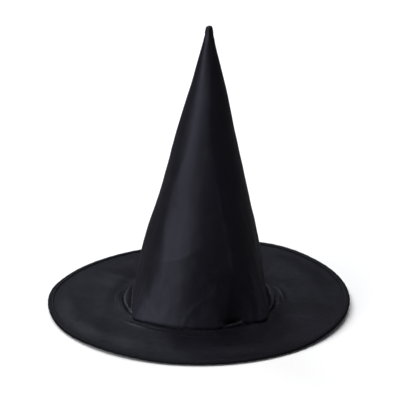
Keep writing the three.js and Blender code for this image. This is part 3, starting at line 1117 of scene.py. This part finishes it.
def band_folds(azimuth, rise):
    """How far the sweatband stands in from its circle. Its panels are flat and slack, with a
    sharp fold at each corner, and small gathers run out from the sewn edge."""
    chord, place = band_panels(azimuth)
    sag = 2.6 * (1 - place**2) * (0.6 + 0.4 * np.sin(azimuth * 7 + 2))
    pleat = 1.5 * np.clip(1 - 14 * np.abs(1 - np.abs(place)), 0, 1) * np.sin(azimuth * 5 + 1) ** 2
    gathers = 0.45 * (1 + np.sin(71 * azimuth + 3 * np.sin(5 * azimuth))) * np.exp(-rise * 3.5)
    slant = np.abs(np.sin(azimuth * 8.5 + 2.6 * rise + 2 * np.sin(3 * azimuth)))
    crease = 1.3 * np.clip(1 - 4 * slant, 0, 1) ** 2
    inward = (sag - pleat + crease) * rise + gathers
    return chord * HEAD_RADIUS * rise**0.8 + np.maximum(inward, 0) * MM


def make_sweatband():
    """The shiny gathered band inside the head opening."""
    azimuths, share = np.meshgrid(all_round(620), np.linspace(0, 1, 22))
    uneven = 1.6 * MM * np.sin(azimuths * 5 + 1) + 0.5 * MM * np.sin(azimuths * 17)
    z = 0.9 * MM + share * (BAND_HEIGHT - 3.2 * MM) + uneven * share**2
    sewn = HEAD_RADIUS - 4.4 * MM
    wall = wall_radius(azimuths, np.maximum(z, 10 * MM))
    inside = np.minimum(wall, HEAD_RADIUS) - 4.6 * MM
    free = sewn + (inside - sewn) * smooth_step(0, 6 * MM, z)
    radius = free - band_folds(azimuths, share) * smooth_step(0, 2.5 * MM, z)
    x, y = polar(radius, azimuths)
    face = stacked(x + LEAN * z, y, z + brim_lift(x, y))
    normals = surface_normals(face)
    flat = stacked(azimuths * HEAD_RADIUS, z, 0 * z)
    back = face - normals * 0.3 * MM
    fields = {"weave": flat, "worn": rubbed(face, -normals)}
    piece = cloth_object("sweatband_gathered", face, back, BAND_CLOTH, fields=fields)
    register(piece, "sweatband", BRIM_BODY)


def rim_line(azimuth):
    """Points along the middle of the bound edge, where the hoop lies."""
    low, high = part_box("hoop_wire")
    x, y = polar(high.x - (high.z - low.z) / 2, azimuth)
    return stacked(x, y, (low.z + high.z) / 2 + brim_lift(x, y))


def tube_grid(centres, radius, sides):
    """Rings of points round a line. radius is a number for each point of the line."""
    ahead = np.gradient(centres, axis=0)
    ahead /= np.linalg.norm(ahead, axis=1, keepdims=True)
    up = np.tile([0.0, 0.0, 1.0], (len(centres), 1))
    side = np.cross(ahead, up)
    side /= np.linalg.norm(side, axis=1, keepdims=True)
    up = np.cross(side, ahead)
    turn = np.arange(sides) / sides * TAU
    ring = np.cos(turn)[None, :, None] * side[:, None] + np.sin(turn)[None, :, None] * up[:, None]
    return centres[:, None] + ring * np.asarray(radius).reshape(-1, 1, 1)


WIRE_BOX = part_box("hoop_wire")
WIRE_RADIUS = (WIRE_BOX[1].z - WIRE_BOX[0].z) / 2
FERRULE_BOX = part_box("hoop_ferrule")
FERRULE_MIDDLE = (FERRULE_BOX[0] + FERRULE_BOX[1]) / 2
FERRULE_AZIMUTH = math.atan2(FERRULE_MIDDLE.x, -FERRULE_MIDDLE.y)


def make_hoop_wire():
    """The spring wire in the brim's edge. Its ends meet inside the ferrule."""
    butt_gap = 0.3 * MM / BRIM_RADIUS
    azimuth = FERRULE_AZIMUTH + np.linspace(butt_gap, TAU - butt_gap, 361)
    rings = tube_grid(rim_line(azimuth), np.full(len(azimuth), WIRE_RADIUS), 12)
    wire = closed_lump("hoop_spring_wire", rings, SPRING_STEEL)
    register(wire, "hoop_wire", BRIM_BODY)


def make_ferrule():
    """The steel tube that is crimped on to the ends of the wire."""
    outside = (FERRULE_BOX[1].z - FERRULE_BOX[0].z) / 2
    along = np.linspace(-1, 1, 41)
    half_length = 7 * MM / BRIM_RADIUS
    crimps = sum(hump(along, place, 0.09) for place in (-0.62, -0.28, 0.28, 0.62))
    radius = outside - 0.18 * MM * crimps - 0.15 * MM * smooth_step(0.93, 1, np.abs(along))
    line = rim_line(FERRULE_AZIMUTH + along * half_length)
    outer = tube_grid(line, radius, 24)
    bore = tube_grid(line, np.full(len(line), WIRE_RADIUS + 0.12 * MM), 24)
    ferrule = cloth_object("hoop_crimped_ferrule", outer, bore, FERRULE_STEEL)
    register(ferrule, "hoop_ferrule", BRIM_BODY)


def make_band_stitches():
    low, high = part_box("sweatband_thread")
    radius = (high.x - low.x) / 2
    pitch = TAU * radius / BAND_STITCHES
    centres, directions, ups = stitch_circle(radius, low.z, BAND_STITCHES)
    rows = [(centres, directions, -ups, 0.7 * pitch, 0.4 * MM)]
    stitch_rows("sweatband_stitches", "sweatband_thread", rows)


# ---------------------------------------------------------------- stage, lights and camera


FLOOR_HALF_WIDTH = 12.0
FLOOR_HEIGHT = -0.3 * MM

# The lights' aim, and each soft light as (name, azimuth, elevation, distance, size, power, colour).
LIGHT_TARGET = Vector((0, 0, 0.15))
WHITE = (1, 1, 1)
SOFT_LIGHTS = [
    ("key_light", -56, 12, 1.9, (1.15, 0.8), 13, WHITE),
    ("back_light_left", -152, 38, 2.4, (0.9, 0.9), 14.5, (0.88, 0.90, 1.0)),
    ("back_light_right", 155, 50, 2.4, (0.9, 0.9), 5, WHITE),
    ("light_below", 0, -86, 1.8, (1.0, 1.0), 60, WHITE),
]

# The camera's aim and place, and the width that it sees at its aim.
CAMERA_TARGET = Vector((1.5 * MM, 0, 138.3 * MM))
CAMERA_ELEVATION = 20
CAMERA_DISTANCE = 2.4
SEEN_WIDTH = 0.4956
SENSOR_WIDTH = 36.0


def looking_in(name, data, azimuth, elevation, target=LIGHT_TARGET, distance=0):
    """A light or camera that looks at a target from a direction, in degrees."""
    thing = add_to_scene(name, data)
    a, e = math.radians(azimuth), math.radians(elevation)
    away = Vector((math.sin(a) * math.cos(e), -math.cos(a) * math.cos(e), math.sin(e)))
    thing.location = target + away * distance
    thing.rotation_mode = "QUATERNION"
    thing.rotation_quaternion = (-away).to_track_quat("-Z", "Y")
    return thing


def floor_material():
    """Pale paper, clear from behind, so that the hat's underside can be seen from below."""
    look = Look("floor_paper")
    look.set(Base_Color=(0.95, 0.95, 0.95, 1), Roughness=0.8)
    clear = look.nodes.new("ShaderNodeBsdfTransparent")
    either = look.nodes.new("ShaderNodeMixShader")
    behind = look.nodes.new("ShaderNodeNewGeometry").outputs["Backfacing"]
    look.join(behind, either.inputs["Fac"])
    look.join(look.shader.outputs["BSDF"], either.inputs[1])
    look.join(clear.outputs["BSDF"], either.inputs[2])
    look.join(either.outputs["Shader"], look.nodes["Material Output"].inputs["Surface"])
    return look.material


def make_floor():
    mesh = bpy.data.meshes.new("floor")
    signs = [(-1, -1), (1, -1), (1, 1), (-1, 1)]
    corners = [(a * FLOOR_HALF_WIDTH, b * FLOOR_HALF_WIDTH, FLOOR_HEIGHT) for a, b in signs]
    mesh.from_pydata(corners, [], [(0, 1, 2, 3)])
    mesh.materials.append(floor_material())
    floor = add_to_scene("floor", mesh)
    floor.visible_glossy = False
    floor.visible_shadow = False


def make_lights():
    """Very soft light from above, which is the same everywhere, four soft boxes and a dim room."""
    overhead = bpy.data.lights.new("overhead_light", "SUN")
    overhead.energy = 2.7
    overhead.angle = math.radians(60)
    looking_in("overhead_light", overhead, -60, 72)
    for name, azimuth, elevation, distance, size, power, color in SOFT_LIGHTS:
        box = bpy.data.lights.new(name, "AREA")
        box.shape = "RECTANGLE"
        box.size, box.size_y = size
        box.energy = power
        box.color = color
        looking_in(name, box, azimuth, elevation, distance=distance)
    world = bpy.data.worlds.new("studio")
    bpy.context.scene.world = world
    world.use_nodes = True
    background = world.node_tree.nodes["Background"]
    background.inputs["Color"].default_value = (0.95, 0.96, 1.0, 1)
    background.inputs["Strength"].default_value = 0.08


def make_camera():
    """The usual view: from the front and a little above, through a long lens."""
    data = bpy.data.cameras.new("camera")
    data.sensor_width = SENSOR_WIDTH
    data.lens = SENSOR_WIDTH * CAMERA_DISTANCE / SEEN_WIDTH
    camera = looking_in("camera", data, 0, CAMERA_ELEVATION, CAMERA_TARGET, CAMERA_DISTANCE)
    bpy.context.scene.camera = camera


make_camera()
make_floor()
make_lights()
make_crown()
make_back_seam()
make_tip_tuck()
make_brim()
make_binding()
make_hoop_wire()
make_ferrule()
make_tape()
make_sweatband()
make_stitches()
make_band_stitches()
bpy.context.scene.view_settings.view_transform = "Standard"
